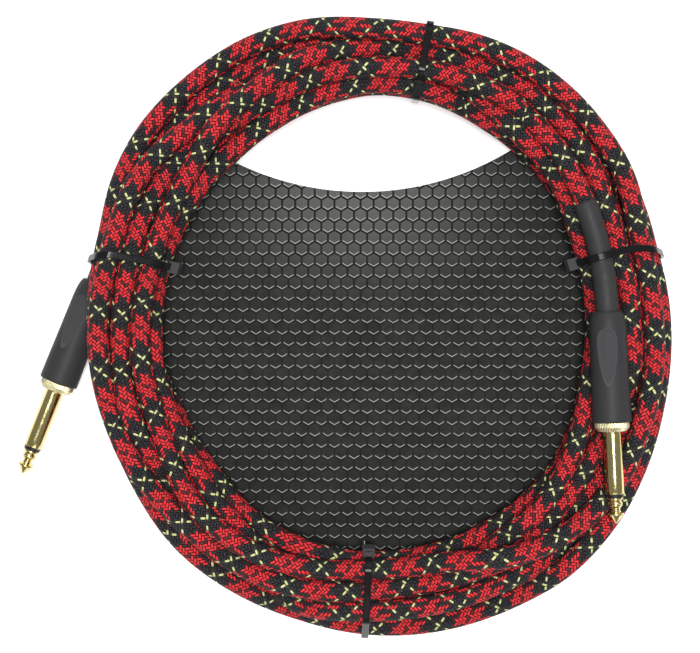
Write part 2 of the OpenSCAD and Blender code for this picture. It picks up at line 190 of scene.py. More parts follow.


# ---- the coil's route ----

# How the cable is wound, clockwise from the left boot to the right one, with a row for each turn
# and for the last part of one. Each station is (angle in degrees, distance from the coil's middle,
# height). The stations of the strands that show were read off the photograph, and those of the
# strands under them are invented.
TURNS = [
    [(135, 101.5, 6), (120, 103.5, 5.5), (90, 103, 5.5), (60, 103, 5.5), (30, 100.5, 5.5),
     (0, 99, 5.5), (330, 102, 8), (310, 102, 12), (296, 100, 13.5), (284, 99.4, 13.5),
     (268, 99.2, 13.5), (255, 98.8, 11), (240, 98, 7),
     (215, 94, 6), (195, 89, 5.5), (180, 88, 5.5), (150, 88, 5.5)],
    [(120, 96, 5.5), (90, 96.5, 5.5), (60, 96.5, 5.5), (30, 93.5, 5.5), (0, 92, 5.5),
     (330, 95, 5.5), (300, 98, 5.5), (270, 98, 5.5), (240, 91, 5.5), (210, 84, 5.5),
     (180, 80.5, 5.5), (150, 80.5, 5.5)],
    [(120, 88.5, 5.5), (90, 90, 5.5), (60, 90, 5.5), (30, 87, 5.5), (0, 85.5, 5.5),
     (330, 88, 5.5), (300, 91, 5.5), (270, 90.5, 5.5), (240, 84, 5.5), (225, 84, 7),
     (205, 87, 11), (180, 91.5, 12.5), (165, 94, 14.5), (150, 96.5, 15)],
    [(142, 99.5, 14.5), (130, 100, 13.5), (115, 101, 12.5), (100, 101, 12), (90, 101.5, 11.5),
     (60, 104, 12), (40, 103, 12), (25, 102, 12), (15, 100, 12.5), (0, 101.5, 12.5),
     (345, 102, 12.5), (332, 105, 11), (315, 108, 9), (300, 108.5, 8.5), (285, 107.8, 8.5),
     (270, 107, 8.5), (255, 103.8, 8.5), (240, 102.5, 9), (225, 100.5, 11), (210, 98, 13),
     (195, 97.5, 14.5), (180, 97.5, 15.5), (170, 98, 16)],
    [(160, 99.5, 17), (150, 102, 18), (137, 105.5, 18), (125, 107, 18), (110, 108, 18),
     (99, 106.5, 17.5), (90, 104.5, 17), (80, 104, 17), (70, 105.5, 17.5), (60, 106, 18),
     (50, 105.5, 18), (40, 103.5, 18), (33, 102.5, 18), (28, 101, 18), (22, 98.5, 18),
     (16, 97.3, 18), (3, 97.5, 18), (353, 98.3, 18), (340, 99, 18), (328, 101, 18),
     (317, 99.5, 18), (310, 96.5, 19), (303, 93, 20), (297, 89.5, 20), (290, 86, 19.5),
     (284, 84.5, 18.5), (270, 84.5, 18), (256, 86.5, 18), (243, 88, 18), (230, 88.5, 18),
     (220, 87, 18.5), (210, 83.5, 19), (200, 82, 19.5), (190, 81.3, 20), (168, 80.6, 20)],
    [(155, 81, 20), (147, 81.5, 20), (141, 83, 20.5), (134, 85.5, 20.5), (126, 89, 20.5),
     (120, 90, 20), (114, 92.5, 19.5), (108, 94.5, 19), (103, 96.5, 18.5), (92, 97.5, 18.5),
     (75, 97.5, 18.5), (66, 98.5, 18.5), (58, 99, 18.5), (52, 97.5, 18.5), (46, 97, 18.5),
     (40, 95, 18.5), (34, 94, 18.5), (28, 91, 18), (22, 90.5, 18), (14, 89, 18),
     (8, 90.5, 18), (0, 89.5, 18), (355, 91.5, 17.5), (348, 91.5, 16), (340, 90.5, 14.5),
     (335, 90, 14.5), (328, 89.5, 15), (322, 90, 15.5), (312, 91, 13.5), (303, 91.5, 12.5),
     (296, 91.5, 14), (290, 91.5, 16), (276, 91.5, 18), (264, 93, 18), (250, 94.5, 18),
     (240, 95.3, 18), (220, 94.8, 18.5), (210, 96, 19.5), (200, 96.2, 20.5), (180, 95.3, 21),
     (165, 94.4, 21), (153, 95.5, 21)],
    [(147, 96.5, 21), (141, 95.5, 19), (135, 94, 17), (129, 93, 14), (120, 93.5, 12.5),
     (90, 95, 12), (60, 97, 12), (30, 94, 12), (0, 94, 12), (330, 96, 12), (300, 94.2, 11),
     (270, 93.8, 11), (240, 93, 11.5), (210, 90, 12.4), (180, 86, 12), (150, 88, 12)],
    [(120, 85, 13), (105, 86.5, 12), (90, 88, 12), (80, 88.5, 12), (70, 88, 12.5),
     (60, 87, 14), (54, 86, 16), (48, 84.5, 16.5), (41, 83.5, 16.5), (35, 81.5, 16),
     (28, 79.5, 15.5), (22, 78.5, 15), (10, 78.5, 14), (355, 77.5, 14), (345, 78.5, 15),
     (337, 80, 16.5), (330, 81.5, 17.5), (324, 83, 18), (317, 84.5, 18), (310, 86, 17.5),
     (303, 86.5, 15.5), (295, 87.2, 12.4), (280, 87.2, 12), (260, 87.2, 12), (240, 86, 12),
     (225, 82, 12.5), (210, 78.5, 13.5), (190, 78, 14.5), (168, 78.5, 14.5)],
    [(150, 78.5, 14.5), (135, 79, 14), (120, 80.5, 13), (105, 83, 13), (90, 85.5, 13.5),
     (80, 85.5, 13.5), (68, 84, 13.5), (60, 83, 13.5), (48, 82, 12), (40, 82, 11),
     (30, 81.5, 11), (15, 83.5, 11.5), (0, 84.5, 11.5), (330, 84.5, 11), (315, 83, 11),
     (300, 83, 11), (285, 83, 11.5), (270, 83, 12), (255, 82.5, 12), (240, 81.5, 11.5),
     (225, 78.5, 9), (210, 78, 9), (195, 80.5, 11), (180, 84, 15), (165, 84.5, 14),
     (150, 84, 12)],
    [(135, 82, 9), (120, 81.5, 6), (90, 85.5, 6), (60, 84, 6), (30, 81, 6), (0, 79.5, 5.5),
     (330, 82, 5.5), (300, 84, 5.5), (270, 84, 5.5), (255, 87, 8), (240, 91, 11.5),
     (225, 90.5, 14), (215, 90.5, 17.5), (209, 90.3, 18.5), (200, 90.2, 20), (190, 89.4, 20.7),
     (180, 88, 21), (165, 87.2, 21), (157, 88.8, 20.5)],
    [(146, 89.5, 20), (140, 90, 18), (134, 89, 15), (126, 88, 13), (118, 87, 13.5),
     (110, 88, 16), (101, 89.5, 18), (91, 89.5, 18.5), (80, 90.5, 18.5), (70, 91, 18),
     (60, 91, 18.6), (54, 90.6, 20.2), (48, 89.4, 22.2), (42, 87.7, 24.2),
     (36.5, 85.8, 25.2)],
]

# The bundle's inner and outer sides, where its innermost and outermost strands lie, read off the
# photograph in the same way.
INNER_SIDE = [(0, 78.5), (15, 78.5), (25, 79.5), (40, 82), (60, 83), (75, 85), (90, 85.5), (105, 83),
              (120, 80.5), (135, 78.5), (160, 77.3), (175, 77), (190, 76.8), (205, 76), (215, 76),
              (225, 78), (235, 80.5), (245, 82), (260, 83), (290, 83), (320, 82.5), (335, 80.5),
              (345, 78.5)]
OUTER_SIDE = [(0, 101.5), (15, 100), (25, 102), (35, 104), (50, 105.5), (60, 106), (70, 105.5), (80, 104),
              (90, 104.5), (103, 107.5), (115, 108), (125, 107), (140, 105.5), (150, 103), (160, 98.7),
              (175, 97.7), (205, 97.8), (215, 99.5), (230, 102), (255, 103.2), (270, 106.2), (285, 107.3),
              (300, 108.3), (310, 108.3), (322, 107), (332, 105), (342, 103), (350, 102)]

SIDE_HEIGHT = 14 * MM                             # where the sides are as far out as they say
SIDE_SLOPE = 1.85                                 # how much further out a lower strand may lie
ROUTE_STEP = 2                                    # degrees
SETTLING_STEPS = 500
STRAND_GAP = 0.05 * MM                            # left between strands
BAR_GAP = 0.1 * MM                                # left between a strand and a plug
BAR_REACH = 3 * MM                                # how far past its ends a plug's part still pushes
CROWD_SHARE = 0.6                                 # calms a strand with several neighbours
HELD_LOW, HELD_HIGH = 0.004, 0.22                 # pull back to the laid distance, by layer
TOP_LAYER_FROM = 12.5 * MM
SINKING = 0.02 * MM                               # how far a strand sinks at the first step
FIXED_START, FIXED_END = 4, 24                    # degrees that stay in line with the boots
PAST_BOOT = 6                                     # degrees wound before a plug pushes the cable
SIDEWAYS_SHARE = 0.8                              # of a plug's push, the part that moves it sideways
UNBEND, UNKINK = 0.04, 0.06                       # smoothing at each step


def around_coil(table, angles):
    """A side's distance from the coil's middle at each angle."""
    at = [p[0] for p in table] + [table[0][0] + 360]
    return np.interp(angles % 360, at, [p[1] for p in table] + [table[0][1]]) * MM


def polar(point):
    off = np.asarray(point)[:2] - COIL_MIDDLE
    return math.degrees(math.atan2(off[1], off[0])), math.hypot(*off), point[2]


def laid_route():
    """The turns as (degrees wound, distance, height) at even steps, before they settle."""
    first, last = polar(plug_line(LEFT, 2 * MM, False)[-1]), polar(plug_line(RIGHT, 2 * MM, True)[-1])
    points = [first]
    for turn in TURNS:
        points += [(a, r * MM, z * MM) for a, r, z in turn]
    points.append(last)
    wound = [0.0]
    for before, after in zip(points, points[1:]):
        wound.append(wound[-1] + (before[0] - after[0]) % 360)
    at = np.append(np.arange(0, wound[-1], ROUTE_STEP), wound[-1])
    if at[-1] - at[-2] < ROUTE_STEP / 2:
        at = np.delete(at, -2)
    return first[0], at, eased(wound, [p[1] for p in points], at), eased(wound, [p[2] for p in points], at)


def eased(x, y, at):
    """A smooth curve through the points that never swings past them."""
    x, y = np.array(x), np.array(y)
    gap = np.diff(x)
    rise = np.diff(y) / gap
    lean = np.zeros(len(x))
    same = rise[:-1] * rise[1:] > 0
    lean[1:-1][same] = 2 * (rise[:-1] * rise[1:])[same] / (rise[:-1] + rise[1:])[same]
    lean[0], lean[-1] = rise[0], rise[-1]
    i = np.clip(np.searchsorted(x, at) - 1, 0, len(gap) - 1)
    t = (at - x[i]) / gap[i]
    return (
        (1 + 2 * t) * (1 - t) ** 2 * y[i] + t * (1 - t) ** 2 * gap[i] * lean[i]
        + t * t * (3 - 2 * t) * y[i + 1] + t * t * (t - 1) * gap[i] * lean[i + 1]
    )


RING_AND_TIP_L = 10 * MM
JACK_R = 3.2 * MM
BOOT_PUSH_L = 8 * MM                              # the right boot pushes only near its handle


def plug_bars():
    """The plugs as bars that the cable lies against: (plug, rear, front, radius)."""
    jack = (0.0, LEFT.sleeve_l + RING_AND_TIP_L, JACK_R)
    handle = (HANDLE_REAR, 0.0, HANDLE_R)
    return [
        (LEFT, *handle), (LEFT, *jack), (LEFT, BOOT_END, HANDLE_REAR, BOOT_R),
        (RIGHT, *handle), (RIGHT, *jack), (RIGHT, HANDLE_REAR - BOOT_PUSH_L, HANDLE_REAR, BOOT_R),
    ]


def settled_route():
    """The laid turns pressed apart until they lie beside and on each other, as points in the row frame."""
    start, wound, laid_r, laid_z = laid_route()
    angle = np.radians(start - wound)
    outward = np.stack([np.cos(angle), np.sin(angle)], axis=1)
    inner, outer = (around_coil(side, np.degrees(angle)) for side in (INNER_SIDE, OUTER_SIDE))
    r, z = laid_r.copy(), laid_z.copy()
    count, lap = len(wound), 360 // ROUTE_STEP
    held = HELD_LOW + HELD_HIGH * np.clip((laid_z - TOP_LAYER_FROM) / (1 * MM), 0, 1)
    fixed = (wound < FIXED_START) | (wound > wound[-1] - FIXED_END)
    for step in range(SETTLING_STEPS):
        lean = np.arctan(np.gradient(r) / (math.radians(ROUTE_STEP) * r))
        move_r, move_z, touching = np.zeros(count), np.zeros(count), np.zeros(count)
        for shift in range(lap, count, lap):
            low, high = slice(0, count - shift), slice(shift, count)
            dr, dz = r[high] - r[low], z[high] - z[low]
            gap = np.hypot(dr * np.cos(lean[high] - lean[low]), dz) + 1e-12
            push = 0.5 * np.maximum(0, 2 * CABLE_R + STRAND_GAP - gap) / gap
            for part, way in ((high, 1), (low, -1)):
                move_r[part] += way * push * dr
                move_z[part] += way * push * dz
                touching[part] += push > 0
        share = 1 / np.maximum(1, CROWD_SHARE * touching)
        r, z = r + share * move_r, z + share * move_z
        for plug, rear, front, radius in plug_bars():
            off = COIL_MIDDLE + outward * r[:, None] - plug.front[:2]
            along = off @ plug.axis[:2]
            off -= along[:, None] * plug.axis[:2]
            up = z - plug.front[2]
            gap = np.sqrt((off**2).sum(1) + up**2) + 1e-12
            near = (along > rear - BAR_REACH) & (along < front + BAR_REACH) & (wound > PAST_BOOT)
            push = np.where(near, np.maximum(0, radius + CABLE_R + BAR_GAP - gap), 0) / gap
            r = r + SIDEWAYS_SHARE * push * (off * outward).sum(1)
            z = z + push * up
        spread = 1 + SIDE_SLOPE * (SIDE_HEIGHT - z)
        r = np.clip(r, spread * inner, spread * outer)
        z = np.maximum(z, CARD_TOP + CABLE_R)
        r += held * (laid_r - r)
        z -= SINKING * (1 - step / SETTLING_STEPS)
        for line in (r, z):
            flat = line.copy()
            line[2:-2] -= UNBEND * (
                flat[:-4] - 4 * flat[1:-3] + 6 * flat[2:-2] - 4 * flat[3:-1] + flat[4:]
            )
            line[1:-1] += UNKINK * (flat[:-2] - 2 * flat[1:-1] + flat[2:])
        r[fixed], z[fixed] = laid_r[fixed], laid_z[fixed]
    return np.column_stack([COIL_MIDDLE + outward * r[:, None], z])


def cable_line():
    """The whole cable's line, from the cut braid in the left plug to that in the right one."""
    left = plug_line(LEFT, 1 * MM, False)
    right = plug_line(RIGHT, 1 * MM, True)[::-1]
    line = resampled(np.vstack([left, settled_route()[1:-1], right]), CABLE_STEP)
    for _ in range(12):
        line[1:-1] += 0.25 * (line[:-2] - 2 * line[1:-1] + line[2:])
    return line


# Where lime yarns cross each other on the strands that show, as (angle, distance from the coil's
# middle). These too were read off the photograph, so that the marks fall where it has them.
CROSSINGS = [
    (131.1, 107.5), (120.5, 109.1), (109.9, 109.6), (99.1, 109.1), (88.4, 106.6), (77.7, 105.9),
    (66.7, 107.2), (55.7, 107), (45.1, 105.8), (34.1, 102.7), (22, 99.1), (10.7, 98.1),
    (358.6, 98.8), (346.8, 98.8),
    (334.8, 99.2), (322.5, 99.9), (310.7, 96), (298.4, 88.4), (284.1, 83.5), (270.7, 83.5), (256.6, 85.3),
    (242.8, 88.2), (228.9, 88.1), (215, 84.2), (201.1, 81.8), (187.7, 80.7), (174.5, 81.3), (161.4, 80.7),
    (147.5, 81.1), (134.1, 84.6), (121, 89.4), (109.1, 93.6), (97.7, 96.7), (86.2, 97.2), (74.8, 97.4),
    (63.3, 97.8), (52.1, 97.1), (40.2, 94), (28, 90.4), (15, 87.3), (1.8, 88), (349.3, 91.6),
    (289.3, 90.8), (277, 90.2), (263.9, 92.2), (250.9, 94.3), (238.4, 95.3), (225.5, 95.3), (213.2, 96),
    (201.1, 97), (188.9, 96.3), (176.8, 95.3), (165.2, 94.3), (153.2, 95.7), (141.1, 94.8), (129.3, 93.6),
    (203.9, 89.8), (190.7, 89.8), (177.3, 87.6), (164.5, 87.6), (151.4, 89.8), (140, 89.4),
    (105, 88.7), (92, 89.8), (67, 90.5), (54.5, 89.4), (41.8, 88),
    (177.5, 76.7), (162, 78.4), (148, 77.7), (134.5, 79.8), (120.8, 81.1), (107.5, 83.6), (94.8, 85),
    (68.4, 84.6), (55.2, 85.4), (41.6, 82.9), (28.2, 79.8), (14.5, 77), (344.8, 77.3), (330.9, 80.7),
    (316.8, 84), (303.4, 86.6), (241.1, 79), (226.8, 80.7), (260, 82), (153.2, 103), (142.5, 105.8),
    (293.9, 110), (282, 109.7), (270.2, 108.7), (259.1, 107.6), (287.3, 102.6),
]
CROSSING_REACH = 3.6 * MM


def weave_shifts(line, along):
    """How far the weave is shifted around and along the cable, in turns, to cross at CROSSINGS."""
    marks = []
    for degrees, distance in CROSSINGS:
        way = np.array([math.cos(math.radians(degrees)), math.sin(math.radians(degrees))])
        off = np.linalg.norm(line[:, :2] - COIL_MIDDLE - distance * MM * way, axis=1)
        near = np.flatnonzero(off < CROSSING_REACH)
        if not len(near):
            continue
        near = near[line[near, 2] > line[near, 2].max() - CABLE_R / 2]
        nearest = near[np.argmin(off[near])]
        outward = (distance * MM - polar(line[nearest])[1]) / CABLE_R
        marks.append((along[nearest], math.asin(np.clip(outward, -0.9, 0.9)) / (2 * math.pi)))
    places, around, onward = [0.0], [0.0], [0.0]
    for place, turned in sorted(marks):
        if place - places[-1] < BRAID_PITCH / 2:
            continue
        turns = place / BRAID_PITCH
        places.append(place)
        around.append(turned)
        onward.append(round(turns + onward[-1]) - turns)
    return np.interp(along, places, around), np.interp(along, places, onward)


def cable_piece(line, material):
    along = np.arange(len(line)) * np.linalg.norm(np.diff(line, axis=0), axis=1).mean()
    turned, onward = weave_shifts(line, along)
    rings = swept_rings(line, CABLE_R, CABLE_SIDES)
    faces = bridge(len(line), CABLE_SIDES)
    faces += [list(range(CABLE_SIDES))[::-1], list(range(rings.size // 3 - CABLE_SIDES, rings.size // 3))]
    piece = new_piece("braided_cable", rings.reshape(-1, 3), faces, material, "root")
    layer = piece.data.uv_layers.new(name="braid")
    around = np.arange(CABLE_SIDES + 1) / CABLE_SIDES
    for i, face in enumerate(faces[:-2]):
        ring, k = divmod(i, CABLE_SIDES)
        corners = ((ring, k), (ring, k + 1), (ring + 1, k + 1), (ring + 1, k))
        for loop, (row, column) in zip(piece.data.polygons[i].loop_indices, corners):
            layer.data[loop].uv = (around[column] + turned[row], along[row] / BRAID_PITCH + onward[row])
    return piece


# ---- materials ----

class Look:
    """A material's nodes, written as sums."""

    def __init__(self, name, **values):
        self.material = bpy.data.materials.new(name)
        self.material.use_nodes = True
        self.tree = self.material.node_tree
        self.shader = self.tree.nodes["Principled BSDF"]
        for key, value in values.items():
            self.set(key.replace("_", " "), value)

    def set(self, socket, value):
        target = self.shader.inputs[socket]
        if isinstance(value, bpy.types.NodeSocket):
            self.tree.links.new(value, target)
        elif isinstance(value, tuple):
            target.default_value = (*value, 1.0)
        else:
            target.default_value = value

    def node(self, kind, *inputs, **settings):
        node = self.tree.nodes.new(f"ShaderNode{kind}")
        for key, value in settings.items():
            setattr(node, key, value)
        for socket, value in zip(node.inputs, inputs):
            if isinstance(value, bpy.types.NodeSocket):
                self.tree.links.new(value, socket)
            elif value is not None:
                socket.default_value = value
        return node

    def sum(self, operation, *inputs):
        return self.node("Math", *inputs, operation=operation).outputs[0]

    def place(self):
        return self.node("TexCoord").outputs["Object"]

    def parts(self, vector):
        return self.node("SeparateXYZ", vector).outputs

    def noise(self, scale, detail=3.0, vector=None):
        node = self.node("TexNoise")
        self.tree.links.new(vector or self.place(), node.inputs["Vector"])
        node.inputs["Scale"].default_value = scale
        node.inputs["Detail"].default_value = detail
        return node.outputs["Fac"]

    def between(self, value, low, high, to_low=0.0, to_high=1.0):
        node = self.node("MapRange", value, low, high, to_low, to_high, interpolation_type="SMOOTHSTEP")
        return node.outputs["Result"]

    def ramp(self, value, stops, interpolation="LINEAR"):
        node = self.node("ValToRGB", value)
        ramp = node.color_ramp
        ramp.interpolation = interpolation
        for i, (at, colour) in enumerate(stops):
            stop = ramp.elements[i] if i < 2 else ramp.elements.new(at)
            stop.position, stop.color = at, (*colour, 1.0)
        return node.outputs["Color"]

    def mix(self, share, a, b):
        node = self.node("Mix", data_type="RGBA")
        for name, value in (("Factor_Float", share), ("A_Color", a), ("B_Color", b)):
            socket = next(s for s in node.inputs if s.identifier == name)
            if isinstance(value, bpy.types.NodeSocket):
                self.tree.links.new(value, socket)
            else:
                socket.default_value = (*value, 1.0) if isinstance(value, tuple) else value
        return next(s for s in node.outputs if s.identifier == "Result_Color")

    def bump(self, height, distance, strength=1.0):
        node = self.node("Bump")
        self.tree.links.new(height, node.inputs["Height"])
        node.inputs["Distance"].default_value = distance
        node.inputs["Strength"].default_value = strength
        self.set("Normal", node.outputs[0])


RED = (0.98, 0.037, 0.044)
BLACK = (0.023, 0.025, 0.029)
CHARCOAL = (0.12, 0.022, 0.026)
LIME = (0.85, 0.90, 0.40)


def braid_look():
    """Yarns that cross over two and under two, in a tartan of red and black with a lime line, with painted
    shade in their grooves and on the under yarns in the gaps.
    """
    look = Look("braid", Roughness=0.7, Specular_IOR_Level=0.25)
    u, v, _ = look.parts(look.node("UVMap", uv_map="braid").outputs[0])
    right = look.sum("MULTIPLY", look.sum("SUBTRACT", u, v), CARRIERS)
    left = look.sum("MULTIPLY", look.sum("ADD", u, v), CARRIERS)
    in_right, in_left = look.sum("FRACT", right), look.sum("FRACT", left)
    cell = look.sum("ADD", look.sum("FLOOR", right), look.sum("FLOOR", left))
    place = look.sum("FLOORED_MODULO", cell, 4)
    over = look.sum("LESS_THAN", place, 1.5)
    under = look.sum("SUBTRACT", 1.0, over)

    def choose(a, b):
        return look.sum("ADD", look.sum("MULTIPLY", a, over), look.sum("MULTIPLY", b, under))

    def arch(x, half_width):
        side = look.sum("DIVIDE", look.sum("SUBTRACT", x, 0.5), half_width)
        square = look.sum("POWER", side, 2)
        return look.sum("SQRT", look.sum("MAXIMUM", 0.0, look.sum("SUBTRACT", 1.0, square)))

    def colour_of(carrier):
        share = look.sum("DIVIDE", look.sum("FLOORED_MODULO", carrier, CARRIERS), CARRIERS)
        stops = [(0, LIME), (1, BLACK), (5, RED), (8, CHARCOAL), (9, RED), (12, BLACK)]
        return look.ramp(share, [(i / CARRIERS, c) for i, c in stops], "CONSTANT")

    across = choose(in_right, in_left)
    along = choose(
        look.sum("DIVIDE", look.sum("ADD", place, in_left), 2),
        look.sum("DIVIDE", look.sum("ADD", look.sum("SUBTRACT", place, 2), in_right), 2),
    )
    height = look.sum("MULTIPLY", arch(across, 0.46), arch(along, 0.53))
    top = look.mix(over, colour_of(left), colour_of(right))
    below = look.mix(under, colour_of(left), colour_of(right))
    ends = look.sum("ABSOLUTE", look.sum("SINE", look.sum("MULTIPLY", across, 2 * math.pi)))
    # Painted shade: the colour darkens towards black in the groove between each carrier's two ends and
    # towards the sides and ends of each float.
    painted_groove_shade = look.between(ends, 0.05, 0.75, 0.4, 1.0)
    shade = look.sum("MULTIPLY", painted_groove_shade, look.between(height, 0.2, 0.9, 0.5, 1.0))
    top = look.mix(look.sum("SUBTRACT", 1.0, shade), top, (0.01, 0.006, 0.008))
    top = look.mix(look.between(look.noise(1500, 3), 0.45, 0.75, 0.0, 0.3), top, (0.16, 0.14, 0.15))
    top = look.mix(look.between(look.noise(700, 2), 0.5, 0.75, 0.0, 0.35), top, (0.02, 0.004, 0.008))
    # Painted shade: the under yarn seen in the gaps between floats is darkened almost to black.
    below = look.mix(0.93, below, (0.004, 0.002, 0.003))
    look.set("Base Color", look.mix(look.between(height, 0.34, 0.7, 1.0, 0.0), top, below))
    look.bump(look.sum("MULTIPLY_ADD", ends, 0.25, height), 0.4 * MM)
    return look.material


def gold_look():
    look = Look("gold", Metallic=1.0)
    knurled = look.node("Attribute", attribute_name="knurled").outputs["Fac"]
    polished = look.mix(look.noise(60), (0.68, 0.56, 0.23), (0.82, 0.70, 0.34))
    # The knurled collar is rougher, and its paler gold is a painted sheen.
    look.set("Base Color", look.mix(knurled, polished, (0.95, 0.87, 0.56)))
    rough = look.between(look.noise(400), 0.3, 0.7, 0.09, 0.16)
    look.set("Roughness", look.sum("MULTIPLY_ADD", knurled, 0.22, rough))
    look.bump(look.noise(2500, 2), 0.01 * MM, 0.4)
    return look.material


def handle_look():
    look = Look("handle", Specular_IOR_Level=0.14)
    edge = look.node("Attribute", attribute_name="edge").outputs["Fac"]
    base = look.mix(look.noise(90), (0.034, 0.034, 0.036), (0.040, 0.040, 0.042))
    # Painted reflection: the scoops' floors are painted lighter, and lighter still in a thin line along
    # their rims.
    look.set("Base Color", look.mix(edge, base, (0.15, 0.15, 0.155)))
    rough = look.between(look.noise(1500, 5), 0.3, 0.7, 0.45, 0.55)
    look.set("Roughness", look.sum("MULTIPLY_ADD", look.sum("MINIMUM", edge, 0.16), 2, rough))
    look.bump(look.noise(6000, 2), 0.02 * MM, 0.5)
    return look.material


def plain_look(name, dark, light, rough, grain, depth, **values):
    """A moulded or metal surface with a slight change of colour, gloss and height."""
    look = Look(name, **values)
    look.set("Base Color", look.mix(look.noise(grain / 8), dark, light))
    look.set("Roughness", look.between(look.noise(grain), 0.3, 0.7, rough - 0.06, rough + 0.06))
    look.bump(look.noise(grain * 2, 3), depth, 0.5)
    return look.material


CELL_W = 4.72 * MM
ROW = CELL_W * math.sqrt(3) / 2
LINE_INSET = 0.52 * MM            # the painted highlight's distance inside a cell's edge
# A painted reflection of the overhead light: a paler patch on the card near its top middle.
PAINTED_REFLECTION_MIDDLE = (0.003, 0.052, 0.0)
PAINTED_REFLECTION_SHAPE = (0.8, 1.2, 1.0)      # makes the painted reflection wider than it is tall
PAINTED_REFLECTION_R = 0.06


def card_look():
    """A black card printed with a honeycomb, with a painted highlight along each cell's lower edges and a
    painted reflection near its top middle.
    """
    look = Look("card", Specular_IOR_Level=0.08)
    x, y, _ = look.parts(look.place())

    def from_middle(value, pitch, shift):
        shifted = look.sum("ADD", value, shift)
        return look.sum("SUBTRACT", look.sum("FLOORED_MODULO", shifted, pitch), pitch / 2)

    cells = [
        (from_middle(x, CELL_W, shift * CELL_W), from_middle(y, 2 * ROW, shift * 2 * ROW))
        for shift in (0, 0.5)
    ]
    reach = [look.sum("ADD", look.sum("POWER", a, 2), look.sum("POWER", b, 2)) for a, b in cells]
    first = look.sum("LESS_THAN", *reach)
    second = look.sum("SUBTRACT", 1.0, first)
    off_x, off_y = (
        look.sum("ADD", look.sum("MULTIPLY", a, first), look.sum("MULTIPLY", b, second))
        for a, b in zip(*cells)
    )
    flat = look.sum("ABSOLUTE", off_x)
    tall = look.sum("MULTIPLY", look.sum("ABSOLUTE", off_y), math.sqrt(3) / 2)
    slant = look.sum("MULTIPLY_ADD", flat, 0.5, tall)
    rim = look.sum("MAXIMUM", flat, slant)
    edge = look.between(rim, CELL_W / 2 - 0.42 * MM, CELL_W / 2 - 0.3 * MM)
    # Painted highlight: a pale line just inside each cell's two lower edges.
    from_highlight = look.sum("ABSOLUTE", look.sum("SUBTRACT", slant, CELL_W / 2 - LINE_INSET))
    lower_half = look.sum("LESS_THAN", off_y, 0.0)
    short_of_corner = look.between(flat, 0.36 * CELL_W, 0.42 * CELL_W, 1, 0)
    line = look.sum(
        "MULTIPLY",
        look.between(from_highlight, 0.07 * MM, 0.16 * MM, 1.0, 0.0),
        look.sum("MULTIPLY", lower_half, short_of_corner),
    )
    # Painted reflection: the faces and the lines are paler in a patch near the card's top middle.
    wide = look.node("VectorMath", look.place(), PAINTED_REFLECTION_SHAPE, operation="MULTIPLY").outputs["Vector"]
    centre = tuple(a * b for a, b in zip(PAINTED_REFLECTION_MIDDLE, PAINTED_REFLECTION_SHAPE))
    far = look.node("VectorMath", wide, centre, operation="DISTANCE").outputs["Value"]
    painted_reflection = look.between(far, 0.0, PAINTED_REFLECTION_R, 1.0, 0.0)
    face = look.mix(painted_reflection, (0.012, 0.013, 0.011), (0.100, 0.104, 0.097))
    face = look.mix(look.between(look.noise(2500, 2), 0.3, 0.7, 0.0, 0.15), face, (0.01, 0.01, 0.01))
    face = look.mix(edge, face, (0.005, 0.005, 0.004))
    look.set("Base Color", look.mix(line, face, look.mix(painted_reflection, (0.36, 0.36, 0.345), (0.42, 0.42, 0.405))))
    look.set("Roughness", look.between(look.noise(300), 0.3, 0.7, 0.45, 0.55))
    look.bump(look.sum("MULTIPLY_ADD", line, 0.7, edge), 0.02 * MM, 0.4)
    return look.material


def tie_look():
    """Glossy black straps with matt heads, whose grey is painted light."""
    look = Look("tie", Specular_IOR_Level=0.08)
    head = look.node("Attribute", attribute_name="head").outputs["Fac"]
    strap = look.mix(look.noise(110), (0.009, 0.009, 0.010), (0.013, 0.013, 0.014))
    # Painted light: the heads are painted grey, each tie by its own amount.
    look.set("Base Color", look.mix(head, strap, (0.075, 0.075, 0.076)))
    rough = look.between(look.noise(900), 0.3, 0.7, 0.10, 0.15)
    look.set("Roughness", look.sum("MULTIPLY_ADD", head, 0.45, rough))
    look.bump(look.noise(1800, 3), 0.004 * MM, 0.5)
    return look.material


def floor_look():
    white = (0.80, 0.80, 0.80)
    return plain_look("floor", white, (0.83, 0.83, 0.83), 0.6, 40, 0.01 * MM,
                      Emission_Color=(1.0, 1.0, 1.0), Emission_Strength=0.36)


LOOKS = {
    "braid": braid_look(),
    "card": card_look(),
    "tie": tie_look(),
    "handle": handle_look(),
    "liner": plain_look("liner", (0.70, 0.76, 0.77), (0.78, 0.83, 0.84), 0.2, 200, 0.01 * MM),
    "gold": gold_look(),
    "insulator": plain_look(
        "insulator", (0.008, 0.008, 0.008), (0.02, 0.02, 0.02), 0.35, 600, 0.01 * MM
    ),
    "white_insulator": plain_look(
        "white_insulator", (0.76, 0.74, 0.70), (0.84, 0.83, 0.80), 0.45, 400, 0.01 * MM
    ),
    "tinned": plain_look(
        "tinned", (0.62, 0.62, 0.62), (0.75, 0.75, 0.76), 0.3, 900, 0.02 * MM, Metallic=1.0
    ),
    "boot": plain_look(
        "boot", (0.031, 0.031, 0.032), (0.039, 0.039, 0.039), 0.55, 700, 0.04 * MM,
        Specular_IOR_Level=0.2
    ),
    "jacket": plain_look("jacket", (0.03, 0.03, 0.03), (0.05, 0.05, 0.05), 0.6, 500, 0.02 * MM),
    "copper": plain_look(
        "copper", (0.75, 0.36, 0.2), (0.83, 0.46, 0.28), 0.3, 900, 0.02 * MM, Metallic=1.0
    ),
}


def dress_cad_nodes():
    """Gives each CAD node that still shows the look of its material slot."""
    for part in frame["record"]["subparts"]:
        node = NODES[part["node"]]
        node.data.materials.clear()
        node.data.materials.append(LOOKS[part["material_slot"]])


# ---- plugs ----

